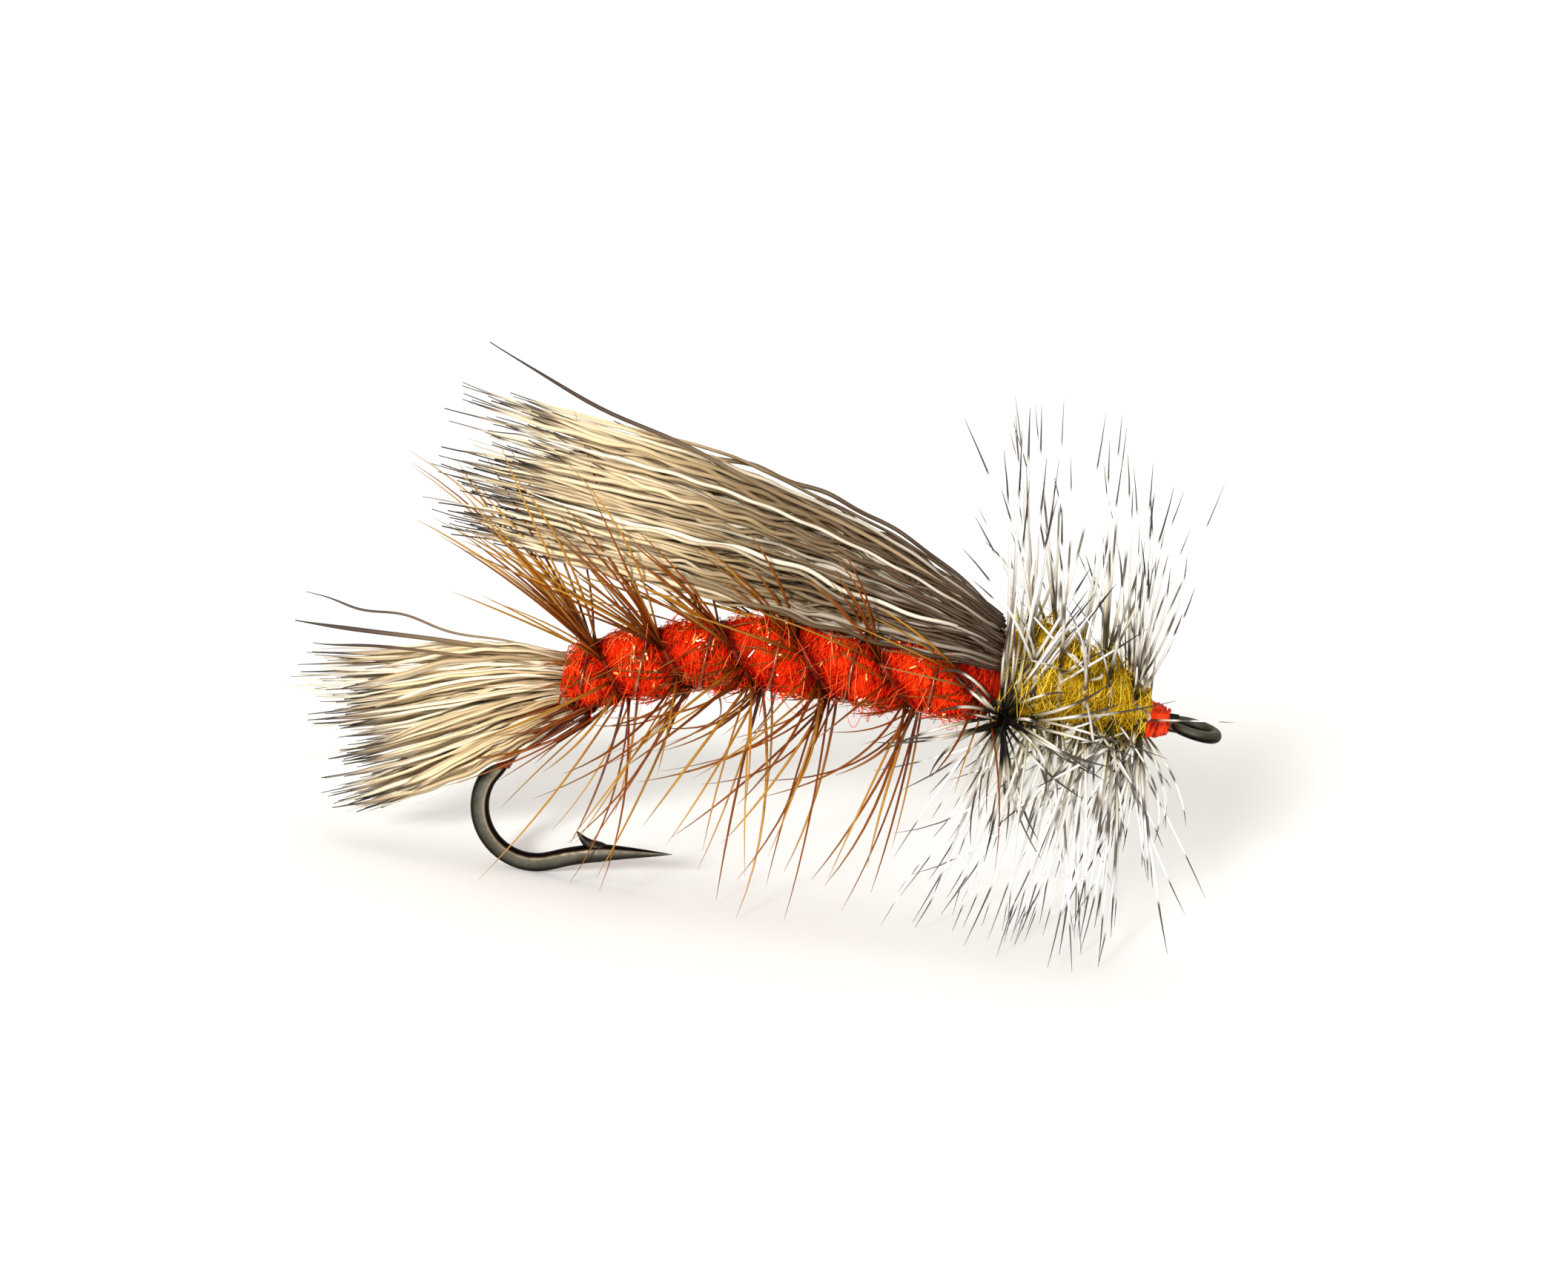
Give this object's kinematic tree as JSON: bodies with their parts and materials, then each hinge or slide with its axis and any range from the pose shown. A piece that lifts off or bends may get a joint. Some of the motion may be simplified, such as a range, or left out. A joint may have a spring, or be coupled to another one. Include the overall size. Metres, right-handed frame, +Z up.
{
  "type": "dry fly",
  "caption": "Dry fishing fly: a ring-eye hook dressed with a hair tail and down wing, a ribbed dubbed body, a hackle along the body and a second hackle at the thorax.",
  "frame": {"origin": "on the surface the fly stands on, under the middle of its bounding box", "axes": "+X along the shank towards the hook eye, +Y across, +Z up, with the hook's gape below the shank"},
  "size_m": [0.0296, 0.0181, 0.0183],
  "materials": {
    "hook_wire": "dark bronze",
    "tying_thread": "waxed nylon thread",
    "dark_thread": "waxed nylon thread",
    "head_thread": "fluorescent thread",
    "tail_hair": "natural hair",
    "wing_hair": "natural hair",
    "red_dubbing": "fuzzy fibre",
    "amber_dubbing": "fuzzy fibre",
    "brown_hackle": "glossy feather",
    "grizzly_hackle": "barred feather",
    "rib_wire": "bright copper wire"
  },
  "bodies": {
    "root": {"hook": "hook_wire", "shank_thread": "tying_thread", "bend_wrap": "dark_thread", "thread_head": "head_thread", "tail_hair_lower": "tail_hair", "tail_hair_middle": "tail_hair", "tail_hair_upper": "tail_hair", "tail_stray_hair_1": "tail_hair", "tail_stray_hair_2": "tail_hair", "tail_stray_hair_3": "tail_hair", "wing_hair_bottom": "wing_hair", "wing_hair_lower": "wing_hair", "wing_hair_upper": "wing_hair", "wing_hair_top": "wing_hair", "wing_stray_hair": "wing_hair", "wing_band": "tying_thread", "abdomen_dubbing": "red_dubbing", "thorax_dubbing": "amber_dubbing", "body_hackle": "brown_hackle", "front_hackle": "grizzly_hackle", "rib_wire": "rib_wire"}
  },
  "joints": []
}
